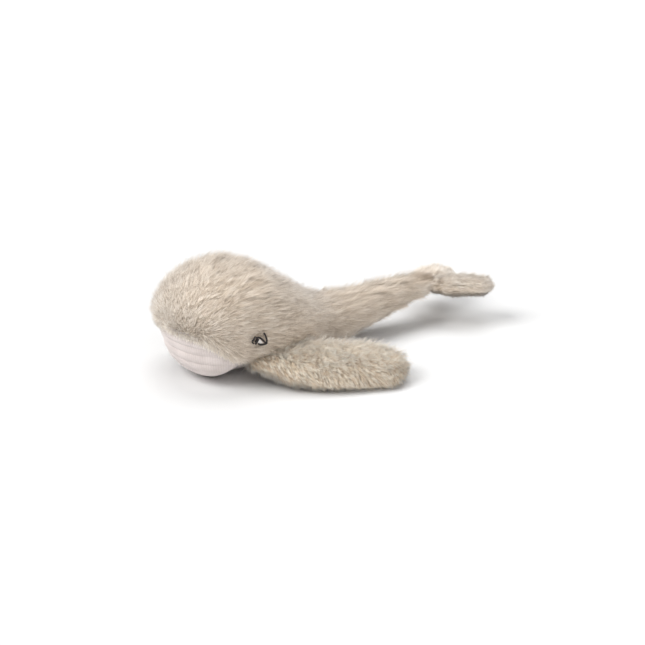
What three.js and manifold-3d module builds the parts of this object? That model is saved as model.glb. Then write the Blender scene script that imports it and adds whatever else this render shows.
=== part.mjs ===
// A plush whale, lying on its belly: long-pile fur panels round fibre stuffing, a ribbed throat panel,
// embroidered eyes, two sewn-on flippers, a bending tail and a fluke of two lobes.
// Millimetres, +Z up. The nose points to -X and the whale's left side faces -Y.
// The origin is on the resting plane, under the middle of the whale.
import * as THREE from "three";
import { mergeVertices } from "three/addons/utils/BufferGeometryUtils.js";
import Module from "manifold-3d";

const wasm = await Module();
wasm.setup();

// Head and trunk, over the fur
const headMiddleX = -145;
const noseReach = 88;
const headHalfWidth = 87;
const headTop = 142;
const headMiddleZ = 72;
const trunkReach = 152;
const trunkEndRadius = 36;
const trunkEndHalfWidth = 38;

// Tail, over the fur
const tailFrontLength = 68;
const tailRearLength = 84;
const tailBendRadius = 27;
const tailBendHalfWidth = 26;
const tailBendZ = 42;
const tailEndRadius = 16;
const tailEndHalfWidth = 17;
const tailEndReach = 12;
const tailEndZ = 50;
const tailLiftRange = { low: -6, high: 25 };
const tailSwayRange = { low: -20, high: 20 };

// Fabric and clearances
const pileDepth = 5;
const backingThickness = 1.5;
const throatThickness = 2.5;
const seamGap = 0.3;
const stuffingGap = 0.3;
const restCut = 0.5;
const jointClearance = 0.4;
const stuffingSetback = 2.5;

// Flippers
const flipperLength = 166;
const flipperHalfWidth = 43;
const flipperHalfThickness = 18;
const flipperRootX = 19;
const flipperRootZ = 30;
const flipperSweepDeg = 29;
const flipperTiltDeg = 14;
const flipperHingeTurnDeg = 14;
const flipperRange = { low: -20, high: 35 };

// Fluke lobes
const lobeLength = 76;
const lobeHalfWidth = 28;
const lobeHalfThickness = 12.5;
const lobeRootY = 9;
const lobeSweepDeg = 45;
const lobeSweepBack = 10;
const lobeDroop = 5;
const flukeRollDeg = 6;
const lobeSpreadDeg = 11;
const lobeGap = 1;
const lobePileDepth = 3;
const lobeRange = { low: -30, high: 30 };

// Embroidered eyes
const eyeX = -12;
const eyeZ = 66;
const eyeHalfLength = 10;
const threadRadius = 0.95;
const pupilRadius = 1.7;
const eyeStandOff = 0.35;
const eyeWhiteThickness = 1;

// Facets round a section, on the fur and inside it, and steps in which a limb is turned through its range
const bodyFacets = { fur: 32, core: 20 };
const tailFacets = { fur: 24, core: 16 };
const limbFacets = { fur: 24, core: 14 };
const threadFacets = 8;
const sweepSteps = { tail: 2, flipper: 8, lobe: 6, stuffing: 4 };

const furWall = pileDepth + backingThickness;
const lobeWall = lobePileDepth + backingThickness;
const trunkEndX = headMiddleX + trunkReach;
const tailBendX = trunkEndX + tailFrontLength;
const tailLength = tailFrontLength + tailRearLength;
const tailEndX = trunkEndX + tailLength;
const far = noseReach + trunkReach + tailLength + lobeLength;
const degree = Math.PI / 180;

// A closed surface through rings of points, with a single point at each end
function loft(rings) {
  const segments = rings[1].length;
  const starts = rings.map((_, r) => (r > 0 ? 1 + (r - 1) * segments : 0));
  const faces = [];
  for (let r = 0; r + 1 < rings.length; r += 1) {
    for (let s = 0; s < segments; s += 1) {
      const next = (s + 1) % segments;
      const [a0, a1] = rings[r].length > 1 ? [starts[r] + s, starts[r] + next] : [starts[r], starts[r]];
      const [b0, b1] = rings[r + 1].length > 1
        ? [starts[r + 1] + s, starts[r + 1] + next]
        : [starts[r + 1], starts[r + 1]];
      if (a0 !== a1) faces.push(a0, a1, b0);
      if (b0 !== b1) faces.push(a1, b1, b0);
    }
  }
  const geometry = new THREE.BufferGeometry();
  geometry.setAttribute("position", new THREE.Float32BufferAttribute(rings.flat(2), 3));
  geometry.setIndex(faces);
  return geometry;
}

// A geometry as a solid to cut and join
function solid(geometry) {
  const bare = geometry.clone();
  bare.deleteAttribute("normal");
  bare.deleteAttribute("uv");
  const merged = mergeVertices(bare);
  return new wasm.Manifold(new wasm.Mesh({
    numProp: 3,
    vertProperties: new Float32Array(merged.attributes.position.array),
    triVerts: new Uint32Array(merged.index.array),
  }));
}

// The geometry of a solid's largest body, without the crumbs that a cut leaves
function geometryOf(made) {
  const body = made.decompose().reduce((best, one) => (one.volume() > best.volume() ? one : best));
  const mesh = body.getMesh();
  const positions = new Float32Array(mesh.numVert * 3);
  for (let i = 0; i < mesh.numVert; i += 1) {
    positions.set(mesh.vertProperties.subarray(i * mesh.numProp, i * mesh.numProp + 3), i * 3);
  }
  const geometry = new THREE.BufferGeometry();
  geometry.setAttribute("position", new THREE.BufferAttribute(positions, 3));
  geometry.setIndex(new THREE.BufferAttribute(new Uint32Array(mesh.triVerts), 1));
  geometry.computeVertexNormals();
  return geometry;
}

// The other hand of a geometry, across the whale's middle
function mirrored(geometry) {
  const other = geometry.clone().scale(1, -1, 1);
  const faces = other.index.array;
  for (let i = 0; i < faces.length; i += 3) [faces[i + 1], faces[i + 2]] = [faces[i + 2], faces[i + 1]];
  other.computeVertexNormals();
  return other;
}

// A smooth curve through hand-set points [place, value], read at any place
function curveThrough(points) {
  const last = points.length - 1;
  const slope = (a, b) => (points[b][1] - points[a][1]) / (points[b][0] - points[a][0]);
  return (at) => {
    if (at <= points[0][0]) return points[0][1];
    if (at >= points[last][0]) return points[last][1];
    const i = points.findIndex(([place]) => place > at) - 1;
    const span = points[i + 1][0] - points[i][0];
    const before = i > 0 ? (slope(i - 1, i) + slope(i, i + 1)) / 2 : slope(i, i + 1);
    const after = i + 1 < last ? (slope(i, i + 1) + slope(i + 1, i + 2)) / 2 : slope(i, i + 1);
    const t = (at - points[i][0]) / span;
    const rise = t * t * (3 - 2 * t);
    const bow = t * (1 - t) * span * ((1 - t) * before - t * after);
    return points[i][1] * (1 - rise) + points[i + 1][1] * rise + bow;
  };
}

// Shares of a length and of a size, made into a curve
const curveOf = (shares, length, size) => (
  curveThrough(shares.map(([at, value]) => [at * length, value * size]))
);

// A rounded section across X: half a width, a height above and a depth below its middle
function sectionRing({ x, y = 0, z, half, above, below, fullness = 2 }, segments) {
  return Array.from({ length: segments }, (_, s) => {
    const angle = (2 * Math.PI * s) / segments;
    const [c, d] = [Math.cos(angle), Math.sin(angle)];
    const across = Math.sign(c) * Math.abs(c) ** (2 / fullness);
    const up = Math.sign(d) * Math.abs(d) ** (2 / fullness);
    return [x, y + half * across, z + up * (up > 0 ? above : below)];
  });
}

// A rounded end of rings beyond a section, reaching along X
function domeRings({ x, y = 0, z, half, above, below }, reach, count, segments) {
  const rings = Array.from({ length: count - 1 }, (_, i) => {
    const angle = (Math.PI / 2) * ((i + 1) / count);
    const open = Math.cos(angle);
    const shrunk = { half: half * open, above: above * open, below: below * open };
    return sectionRing({ x: x + reach * Math.sin(angle), y, z, ...shrunk }, segments);
  });
  return [...rings, [[x + reach, y, z]]];
}

// Head and trunk: a full round head, and behind its middle a taper to the trunk's end
const headFullness = 2.25;
const chinShare = 1.2;
const limbFullness = 2.2;
const trunkWidthShares = [[0, 1], [0.16, 0.975], [0.32, 0.9], [0.48, 0.775], [0.64, 0.62], [0.8, 0.5]];
const trunkTopShares = [[0, 1], [0.16, 0.965], [0.32, 0.89], [0.48, 0.78], [0.64, 0.655], [0.8, 0.565]];
const placed = (shares, size) => shares.map(([at, value]) => [at * trunkReach, value * size]);
const trunkWidth = curveThrough([
  ...placed(trunkWidthShares, headHalfWidth),
  [trunkReach, trunkEndHalfWidth],
]);
const trunkTop = curveThrough([...placed(trunkTopShares, headTop), [trunkReach, 2 * trunkEndRadius]]);
const trunkBottom = curveThrough([
  [0, -pileDepth - restCut],
  [0.3 * trunkReach, -pileDepth - restCut],
  [0.7 * trunkReach, -restCut],
  [trunkReach, -restCut],
]);
const trunkMiddle = curveThrough([
  [0, headMiddleZ],
  [0.5 * trunkReach, 0.72 * headMiddleZ],
  [trunkReach, trunkEndRadius],
]);

function trunkSection(x, inset) {
  const z = trunkMiddle(x);
  return {
    x: headMiddleX + x,
    z,
    half: trunkWidth(x) - inset,
    above: trunkTop(x) - z - inset,
    below: z - trunkBottom(x) - inset,
    fullness: headFullness + (2 - headFullness) * Math.min(1, x / trunkReach),
  };
}

// The section ahead of the head's middle, at a share of the nose's reach; the chin draws back sooner
function noseSection(share, inset) {
  const middle = trunkSection(0, inset);
  const open = (1 - share ** headFullness) ** (1 / headFullness);
  return {
    ...middle,
    x: headMiddleX - (noseReach - inset) * share,
    half: middle.half * open,
    above: middle.above * open,
    below: middle.below * open ** chinShare,
  };
}

// The head and trunk as one closed form, drawn in by an inset, its end domed about the tail's first bend
function bodyForm(inset, [noseRings, trunkRings, endRings], segments) {
  const rings = [[[headMiddleX - noseReach + inset, 0, headMiddleZ]]];
  for (let r = 1; r < noseRings; r += 1) {
    const share = Math.cos((Math.PI / 2) * (r / noseRings)) ** (2 / headFullness);
    rings.push(sectionRing(noseSection(share, inset), segments));
  }
  for (let r = 0; r <= trunkRings; r += 1) {
    rings.push(sectionRing(trunkSection((trunkReach * r) / trunkRings, inset), segments));
  }
  const end = trunkSection(trunkReach, inset);
  return loft([...rings, ...domeRings(end, end.above, endRings, segments)]);
}

// How far the fur reaches sideways from the middle, at a place along the whale and a height
function sideReach(x, z) {
  const at = x < 0 ? noseSection(-x / noseReach, 0) : trunkSection(x, 0);
  const share = Math.abs(z - at.z) / (z > at.z ? at.above : at.below);
  return at.half * (1 - share ** at.fullness) ** (1 / at.fullness);
}

// The tail's half width, half height and middle height along its length
const tailWidth = curveThrough([
  [0, trunkEndHalfWidth],
  [0.45 * tailFrontLength, (trunkEndHalfWidth + tailBendHalfWidth) / 2],
  [tailFrontLength, tailBendHalfWidth],
  [tailLength, tailEndHalfWidth],
]);
const tailHeight = curveThrough([
  [0, trunkEndRadius],
  [0.45 * tailFrontLength, (trunkEndRadius + tailBendRadius) / 2],
  [tailFrontLength, tailBendRadius],
  [tailLength, tailEndRadius],
]);
const tailMiddle = curveThrough([
  [0, trunkEndRadius - restCut],
  [tailFrontLength, tailBendZ],
  [tailLength, tailEndZ],
]);

function tailSection(x, inset) {
  const height = tailHeight(x) - inset;
  return { x: trunkEndX + x, z: tailMiddle(x), half: tailWidth(x) - inset, above: height, below: height };
}

// A length of the tail between two places, drawn in by an inset, with a domed rear end
function tailForm([from, to], inset, reach, [ringCount, endRings], segments) {
  const start = tailSection(from, inset);
  const rings = [[[start.x, 0, start.z]]];
  for (let r = 0; r <= ringCount; r += 1) {
    rings.push(sectionRing(tailSection(from + ((to - from) * r) / ringCount, inset), segments));
  }
  return loft([...rings, ...domeRings(tailSection(to, inset), reach - inset, endRings, segments)]);
}

// A flat limb along X from its root, by stations, drawn in by an inset
function limbForm(stations, tip, inset, segments) {
  const shorter = (tip.x - inset) / tip.x;
  const rings = stations.map(({ x, y, z, half, thick }) => {
    const section = { x: x * shorter, y, z, half: half - inset, above: thick - inset, below: thick - inset };
    return sectionRing({ ...section, fullness: limbFullness }, segments);
  });
  const root = stations[0];
  return loft([[[root.x * shorter, root.y, root.z]], ...rings, [[tip.x * shorter, tip.y, tip.z]]]);
}

function turnAbout(point, axis, angle) {
  return new THREE.Matrix4().makeTranslation(...point)
    .multiply(new THREE.Matrix4().makeRotationAxis(new THREE.Vector3(...axis), angle))
    .multiply(new THREE.Matrix4().makeTranslation(...point.map((value) => -value)));
}

// The room that a fixed form takes from a limb while the limb turns through its range about a hinge
function sweptRoom(geometry, { point, axis, range }, steps) {
  let room = solid(geometry);
  for (let s = 0; s <= steps; s += 1) {
    const turn = range.low + ((range.high - range.low) * s) / steps;
    room = room.add(solid(geometry.clone().applyMatrix4(turnAbout(point, axis, -turn * degree))));
  }
  return room;
}

function box(low, high) {
  const size = high.map((value, i) => value - low[i]);
  return solid(new THREE.BoxGeometry(...size).translate(...low.map((value, i) => value + size[i] / 2)));
}

// A prism of a plan outline, standing between two heights
function uprightPrism(outline, low, high) {
  const shape = new THREE.Shape(outline.map(([x, y]) => new THREE.Vector2(x, y)));
  return new THREE.ExtrudeGeometry(shape, { depth: high - low, bevelEnabled: false }).translate(0, 0, low);
}

// A prism of a side-view outline, across the whole width
function crossPrism(outline) {
  const shape = new THREE.Shape(outline.map(([x, z]) => new THREE.Vector2(x, z)));
  const prism = new THREE.ExtrudeGeometry(shape, { depth: 2 * far, bevelEnabled: false });
  return prism.rotateX(Math.PI / 2).translate(0, far, 0);
}

// The points of a curve from one place to another
const along = (curve, [from, to], steps, shift = 0) => (
  Array.from({ length: steps + 1 }, (_, i) => {
    const at = from + ((to - from) * i) / steps;
    return [at, curve(at) + shift];
  })
);

const underFloor = box([-far, -far, -far], [far, far, 0]);
const onFloor = (made) => made.subtract(underFloor);
const leftOf = (made, gap) => made.subtract(box([-far, -gap / 2, -far], [far, far, far]));
const rightOf = (made, gap) => made.subtract(box([-far, -far, -far], [far, gap / 2, far]));

// Materials
const furFinish = new THREE.MeshStandardMaterial({ color: 0xd6c8b4, roughness: 0.95, metalness: 0 });
const throatFinish = new THREE.MeshStandardMaterial({ color: 0xdcd3d0, roughness: 0.9, metalness: 0 });
const fibreFinish = new THREE.MeshStandardMaterial({ color: 0xf2f0ea, roughness: 1, metalness: 0 });
const blackThread = new THREE.MeshStandardMaterial({ color: 0x1c1716, roughness: 0.6, metalness: 0 });
const whiteThread = new THREE.MeshStandardMaterial({ color: 0xd9d6d0, roughness: 0.6, metalness: 0 });

function addPiece(group, name, geometry, material) {
  const { x, y, z } = group.position;
  const mesh = new THREE.Mesh(geometry.clone().translate(-x, -y, -z), material);
  mesh.name = name;
  group.add(mesh);
}

function groupAt(x, y, z) {
  const group = new THREE.Group();
  group.position.set(x, y, z);
  return group;
}

// Where the throat panel meets the fur, seen from the side, and where the top gusset meets the sides, in plan
const jawSeam = curveOf([
  [-1.2, 0.98], [-0.85, 0.92], [-0.68, 0.83], [-0.5, 0.66], [-0.25, 0.42], [0, 0.28], [0.4, 0.14],
  [0.8, -0.05], [1.1, -0.4],
], noseReach, headMiddleZ);
const gussetEdge = curveOf([
  [-1.1, 0.4], [-0.8, 0.5], [-0.5, 0.58], [-0.2, 0.53], [0.3, 0.34], [0.8, 0.2], [1.65, 0.09],
], noseReach, headHalfWidth);
const gussetLowShare = 0.55;
const seamSteps = 14;

function underJaw(lift) {
  const span = [-1.2 * noseReach, 1.1 * noseReach];
  const edge = along(jawSeam, span, seamSteps, lift).reverse();
  return solid(crossPrism([[span[0], -far], [span[1], -far], ...edge]).translate(headMiddleX, 0, 0));
}

function withinGusset(widen) {
  const right = along(gussetEdge, [-1.1 * noseReach, trunkReach], seamSteps, widen);
  const left = right.map(([x, y]) => [x, -y]).reverse();
  const prism = uprightPrism([...left, ...right], gussetLowShare * headMiddleZ - widen, far);
  return solid(prism.translate(headMiddleX, 0, 0));
}

// Rings over the nose, along the trunk and over its end, on the fur and inside it
const fineBody = [8, 12, 5];
const coarseBody = [5, 8, 4];
const furBody = (inset) => bodyForm(inset, fineBody, bodyFacets.fur);
const coreBody = (inset) => bodyForm(inset, coarseBody, bodyFacets.core);

function headAndTrunk(group) {
  const skin = solid(furBody(0)).subtract(solid(coreBody(furWall)));
  const furSkin = onFloor(skin.subtract(underJaw(seamGap)));
  const sides = furSkin.subtract(withinGusset(seamGap));
  const throatInset = pileDepth + throatThickness;
  const throat = solid(furBody(pileDepth)).subtract(solid(coreBody(throatInset)));
  const stuffing = onFloor(solid(coreBody(throatInset + stuffingGap)));
  addPiece(group, "top_gusset_fur", geometryOf(furSkin.intersect(withinGusset(0))), furFinish);
  addPiece(group, "left_side_fur", geometryOf(leftOf(sides, seamGap)), furFinish);
  addPiece(group, "right_side_fur", geometryOf(rightOf(sides, seamGap)), furFinish);
  addPiece(group, "throat_panel", geometryOf(onFloor(throat.intersect(underJaw(0)))), throatFinish);
  addPiece(group, "body_stuffing", geometryOf(stuffing), fibreFinish);
}

// Rings along a length of the tail and over its end
const fineTail = [6, 4];
const coarseTail = [4, 3];

// One length of the tail: a left and a right fur panel round its stuffing, cut by what it turns against
function tailPart(group, name, span, reach, room) {
  const outer = solid(tailForm(span, 0, reach, fineTail, tailFacets.fur));
  const inner = solid(tailForm(span, furWall, reach, coarseTail, tailFacets.core));
  const core = solid(tailForm(span, furWall + stuffingGap, reach, coarseTail, tailFacets.core));
  const sleeve = onFloor(outer.subtract(inner).subtract(room));
  addPiece(group, `${name}_left_fur`, geometryOf(leftOf(sleeve, seamGap)), furFinish);
  addPiece(group, `${name}_right_fur`, geometryOf(rightOf(sleeve, seamGap)), furFinish);
  addPiece(group, `${name}_stuffing`, geometryOf(core.subtract(room)), fibreFinish);
}

// A limb of the left side, an upper and a lower fur panel round its stuffing, and its mirror image
function limbPair(groups, name, { stations, tip, wall, place, room, stuffingRoom }) {
  const at = (geometry) => solid(geometry.applyMatrix4(place));
  const seam = [{ x: -far, z: stations[0].z }, ...stations, tip, { x: far, z: tip.z }];
  const outer = at(limbForm(stations, tip, 0, limbFacets.fur));
  const inner = at(limbForm(stations, tip, wall, limbFacets.core));
  const core = at(limbForm(stations, tip, wall + stuffingGap, limbFacets.core));
  const skin = onFloor(outer.subtract(inner).subtract(room));
  const below = (lift) => {
    const edge = seam.map(({ x, z }) => [x, z + lift]).reverse();
    return at(crossPrism([[-far, -far], [far, -far], ...edge]));
  };
  const panels = {
    upper_fur: skin.subtract(below(seamGap / 2)),
    lower_fur: skin.intersect(below(-seamGap / 2)),
    stuffing: core.subtract(stuffingRoom),
  };
  for (const [piece, made] of Object.entries(panels)) {
    const geometry = geometryOf(made);
    const finish = piece === "stuffing" ? fibreFinish : furFinish;
    addPiece(groups.left, `left_${name}_${piece}`, geometry, finish);
    addPiece(groups.right, `right_${name}_${piece}`, mirrored(geometry), finish);
  }
}

// The rounded end that a joint of the tail turns on, about the joint's own line. Its facets lie outside the
// round
function turningBall([x, y, z], axis, radius, halfAcross) {
  const [steps, segments] = [16, 32];
  const outside = 1 / (Math.cos(Math.PI / (2 * steps)) * Math.cos(Math.PI / segments));
  const profile = Array.from({ length: steps + 1 }, (_, i) => {
    const angle = Math.PI * (i / steps - 0.5);
    const open = i % steps ? Math.cos(angle) : 0;
    return new THREE.Vector2(outside * radius * open, outside * halfAcross * Math.sin(angle));
  });
  const ball = new THREE.LatheGeometry(profile, segments);
  const line = new THREE.Vector3(...axis);
  const turn = new THREE.Quaternion().setFromUnitVectors(new THREE.Vector3(0, 1, 0), line);
  return solid(ball.applyQuaternion(turn).translate(x, y, z));
}

const liftHinge = { point: [trunkEndX, 0, trunkEndRadius], axis: [0, -1, 0], range: tailLiftRange };
const swayHinge = { point: [tailBendX, 0, tailBendZ], axis: [0, 0, 1], range: tailSwayRange };

function tail(parent) {
  const frontSpan = [0, tailFrontLength];
  const rearSpan = [tailFrontLength, tailLength];
  const front = groupAt(...liftHinge.point);
  const rear = groupAt(...swayHinge.point);
  const trunkShort = bodyForm(-jointClearance, [2, 12, 1], bodyFacets.fur);
  const trunkBall = turningBall(
    liftHinge.point,
    liftHinge.axis,
    trunkEndRadius + restCut + jointClearance,
    trunkEndHalfWidth + jointClearance,
  );
  const frontShort = tailForm(frontSpan, -jointClearance, 0, [6, 1], tailFacets.fur);
  const frontBall = turningBall(
    swayHinge.point,
    swayHinge.axis,
    tailBendHalfWidth + jointClearance,
    tailBendRadius + jointClearance,
  );
  const frontRoom = sweptRoom(trunkShort, liftHinge, sweepSteps.tail).add(trunkBall);
  const rearRoom = sweptRoom(frontShort, swayHinge, sweepSteps.tail).add(frontBall);
  tailPart(front, "tail_front", frontSpan, tailBendHalfWidth, frontRoom);
  tailPart(rear, "tail_rear", rearSpan, tailEndReach, rearRoom);
  parent.add(front, rear);
}

// Limbs drawn along X from their root, by shares of their length: half width, half thickness and, for a
// flipper, the height of the middle
const flipperShares = [
  [-0.06, 0.3, 0.55, 1.75], [0, 0.38, 0.66, 1.72], [0.1, 0.56, 0.83, 1.58], [0.25, 0.84, 0.98, 1.34],
  [0.42, 1, 1, 1.18], [0.6, 1, 0.98, 1.1], [0.76, 0.89, 0.9, 1], [0.89, 0.67, 0.72, 0.86],
  [0.965, 0.38, 0.46, 0.76],
];
const lobeShares = [
  [-0.15, 0.42, 0.72], [0, 0.55, 0.82], [0.15, 0.75, 0.93], [0.35, 0.95, 1], [0.55, 1, 1], [0.74, 0.9, 0.9],
  [0.89, 0.64, 0.68], [0.97, 0.36, 0.42],
];

function flippers(parent) {
  const stations = flipperShares.map(([at, half, thick, z]) => ({
    x: at * flipperLength,
    y: 0,
    z: (z - 1) * flipperHalfThickness,
    half: half * flipperHalfWidth,
    thick: thick * flipperHalfThickness,
  }));
  const tip = { x: flipperLength, y: 0, z: stations[stations.length - 1].z };
  const rootX = headMiddleX + flipperRootX;
  const rootY = pileDepth - sideReach(flipperRootX, flipperRootZ);
  const turn = flipperHingeTurnDeg * degree;
  const hinge = {
    point: [rootX, rootY, flipperRootZ], axis: [-Math.cos(turn), -Math.sin(turn), 0], range: flipperRange,
  };
  const place = new THREE.Matrix4().makeTranslation(rootX, rootY, flipperHalfThickness)
    .multiply(new THREE.Matrix4().makeRotationZ(-flipperSweepDeg * degree))
    .multiply(new THREE.Matrix4().makeRotationX(flipperTiltDeg * degree));
  const room = sweptRoom(furBody(-jointClearance), hinge, sweepSteps.flipper);
  const stuffingRoom = sweptRoom(coreBody(-stuffingSetback), hinge, sweepSteps.stuffing);
  const groups = { left: groupAt(rootX, rootY, flipperRootZ), right: groupAt(rootX, -rootY, flipperRootZ) };
  limbPair(groups, "flipper", { stations, tip, wall: furWall, place, room, stuffingRoom });
  parent.add(groups.left, groups.right);
}

function flukeLobes(parent) {
  const stations = lobeShares.map(([at, half, thick]) => ({
    x: at * lobeLength,
    y: lobeSweepBack * Math.max(0, at) ** 2,
    z: -lobeDroop * Math.max(0, at) ** 2,
    half: half * lobeHalfWidth,
    thick: thick * lobeHalfThickness,
  }));
  const tip = { x: lobeLength, y: lobeSweepBack, z: -lobeDroop };
  const rootShare = Math.sqrt(1 - (lobeRootY / tailEndHalfWidth) ** 2);
  const rootX = tailEndX + (tailEndReach - lobePileDepth) * rootShare;
  const turn = lobeSweepDeg * degree;
  const hinge = {
    point: [rootX, -lobeRootY, tailEndZ], axis: [-Math.sin(turn), -Math.cos(turn), 0], range: lobeRange,
  };
  const place = new THREE.Matrix4().makeTranslation(rootX, -lobeRootY, tailEndZ)
    .multiply(new THREE.Matrix4().makeRotationZ(-lobeSweepDeg * degree));
  const inward = new THREE.Matrix4().makeTranslation(tailEndX, -lobeGap, 0)
    .multiply(new THREE.Matrix4().makeRotationZ(-lobeSpreadDeg * degree));
  const otherSide = solid(new THREE.BoxGeometry(far, far, far).translate(0, far / 2, 0).applyMatrix4(inward));
  const rearSpan = [tailFrontLength, tailLength];
  const furEnd = tailForm(rearSpan, -jointClearance, tailEndReach, fineTail, tailFacets.fur);
  const room = sweptRoom(furEnd, hinge, sweepSteps.lobe).add(otherSide);
  const stuffingEnd = tailForm(rearSpan, -stuffingSetback, tailEndReach, [2, 3], tailFacets.core);
  const stuffingRoom = sweptRoom(stuffingEnd, hinge, sweepSteps.stuffing).add(otherSide);
  const groups = { left: groupAt(rootX, -lobeRootY, tailEndZ), right: groupAt(rootX, lobeRootY, tailEndZ) };
  limbPair(groups, "fluke_lobe", { stations, tip, wall: lobeWall, place, room, stuffingRoom });
  const fluke = groupAt(0, 0, tailEndZ);
  fluke.rotation.x = -flukeRollDeg * degree;
  for (const group of Object.values(groups)) fluke.add(group.translateZ(-tailEndZ));
  parent.add(fluke);
}

// Eyes: strokes of thread over the fur of each side, by shares behind and above the eye's middle
const eyeStrokeShares = [
  [[-0.5, 0.52], [-0.85, 0.48], [-1.03, 0.21], [-0.88, -0.2]],
  [[-0.5, 0.52], [-0.29, 0.42], [0.29, -0.06], [0.88, -0.67]],
  [[-0.88, -0.2], [-0.15, -0.48], [0.44, -0.7], [0.88, -0.67]],
  [[0.88, -0.67], [0.95, -0.2], [0.79, 0.73]],
];
const pupilShares = [[-0.5, 0.38], [-0.55, 0.02], [-0.55, -0.24]];
const eyeWhiteShares = [[-0.25, 0.16], [-0.27, -0.2], [0.08, -0.4], [0.44, -0.48], [0.2, -0.17]];

function eyePoint([back, up], standOff) {
  const [x, z] = [eyeX + back * eyeHalfLength, eyeZ + up * eyeHalfLength];
  return [headMiddleX + x, -sideReach(x, z) - standOff, z];
}

function stroke(shares, radius) {
  const points = shares.map((share) => new THREE.Vector3(...eyePoint(share, eyeStandOff + radius)));
  const section = new THREE.Shape(Array.from({ length: threadFacets }, (_, i) => {
    const angle = (2 * Math.PI * i) / threadFacets;
    return new THREE.Vector2(radius * Math.cos(angle), radius * Math.sin(angle));
  }));
  const path = new THREE.CatmullRomCurve3(points);
  const run = { steps: threadFacets, bevelEnabled: false, extrudePath: path };
  return solid(new THREE.ExtrudeGeometry(section, run));
}

function eyes(parent) {
  const pupil = stroke(pupilShares, pupilRadius);
  const thread = eyeStrokeShares.reduce((made, shares) => made.add(stroke(shares, threadRadius)), pupil);
  const rings = [eyeStandOff, eyeStandOff + eyeWhiteThickness].map((standOff) => (
    eyeWhiteShares.map((share) => eyePoint(share, standOff))
  ));
  const middleOf = (ring) => [0, 1, 2].map((k) => ring.reduce((sum, p) => sum + p[k], 0) / ring.length);
  const centres = rings.map((ring) => [middleOf(ring)]);
  const patch = solid(loft([centres[0], rings[0], rings[1], centres[1]]));
  for (const [piece, made, finish] of [["thread", thread, blackThread], ["white", patch, whiteThread]]) {
    const geometry = geometryOf(made);
    addPiece(parent, `left_eye_${piece}`, geometry, finish);
    addPiece(parent, `right_eye_${piece}`, mirrored(geometry), finish);
  }
}

const whale = groupAt(0, 0, 0);
const trunkGroup = groupAt(headMiddleX, 0, headMiddleZ);
headAndTrunk(trunkGroup);
eyes(trunkGroup);
whale.add(trunkGroup);
tail(whale);
flippers(whale);
flukeLobes(whale);

export default whale;
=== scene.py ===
import math

import bmesh
import bpy
import numpy as np
from mathutils import Matrix, Vector
from mathutils.bvhtree import BVHTree


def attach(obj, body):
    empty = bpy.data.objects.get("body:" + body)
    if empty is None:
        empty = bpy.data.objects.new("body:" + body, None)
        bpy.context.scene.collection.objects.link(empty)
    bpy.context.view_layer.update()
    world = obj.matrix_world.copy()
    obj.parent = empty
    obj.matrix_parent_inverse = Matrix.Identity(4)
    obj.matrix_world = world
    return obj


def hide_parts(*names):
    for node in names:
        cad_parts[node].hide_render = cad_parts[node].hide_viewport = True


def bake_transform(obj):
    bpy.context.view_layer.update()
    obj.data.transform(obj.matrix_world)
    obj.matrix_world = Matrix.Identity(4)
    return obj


# A plush whale in long pile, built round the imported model: stuffed skins, strands of pile, a ribbed throat
# panel and sewn eyes. Metres, +Z up. The nose points to -X, and the side that the camera sees faces -Y.
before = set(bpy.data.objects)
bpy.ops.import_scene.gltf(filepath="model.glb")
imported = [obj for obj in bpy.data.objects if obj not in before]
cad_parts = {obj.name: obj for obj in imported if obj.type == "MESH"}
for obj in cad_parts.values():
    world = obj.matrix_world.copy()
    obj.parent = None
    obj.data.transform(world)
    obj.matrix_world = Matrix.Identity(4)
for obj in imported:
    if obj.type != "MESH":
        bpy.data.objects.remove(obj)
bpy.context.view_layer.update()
mm = 0.001

# Where the whale is jointed, and how deep its pile is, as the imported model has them
whale = {
    "head": Vector((-145, 0, 72)) * mm,
    "tailLift": Vector((7, 0, 36)) * mm,
    "tailSway": Vector((75, 0, 42)) * mm,
    "flipperRoot": Vector((-126, -71.4, 30)) * mm,
    "lobeRoot": Vector((166.6, -9, 50)) * mm,
    "pileDepth": 5 * mm,
    "lobePileDepth": 3 * mm,
    "floorGap": 0.3 * mm,
}
sides = {"left": 1, "right": -1}  # the camera's side is the left one


# Camera, light and floor
view = {
    "azimuth": -35, "elevation": 20,  # degrees
    "lookAt": Vector((-52.4, -69.6, 61.3)) * mm,
    "distance": 2.2, "lens": 102.3, "sensor": 36,
}
studio = {
    "sky": 0.08, "horizon": 1.0,  # strengths
    "horizonBand": (0.07, 0.14),  # the heights between which the one fades into the other
    "lights": {  # to the right of the camera, away from it, up; strength; spread in degrees
        "key": ((-0.9, -0.4, 1.0), 2.55, 40),
        "top": ((0.1, 0.4, 1.1), 1.65, 50),
        "fill": ((0.35, -0.9, 0.8), 1.2, 60),
    },
    "floorSize": 60, "floorColour": (226, 226, 226), "floorCloud": 1.5,
}


def link(thing):
    bpy.context.scene.collection.objects.link(thing)
    return thing


def setCamera():
    a, e = math.radians(view["azimuth"]), math.radians(view["elevation"])
    back = Vector((math.sin(a) * math.cos(e), -math.cos(a) * math.cos(e), math.sin(e)))
    data = bpy.data.cameras.new("photoCamera")
    data.lens, data.sensor_width = view["lens"], view["sensor"]
    camera = link(bpy.data.objects.new("photoCamera", data))
    camera.location = view["lookAt"] + back * view["distance"]
    camera.rotation_euler = back.to_track_quat("Z", "Y").to_euler()
    bpy.context.scene.camera = camera


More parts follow.
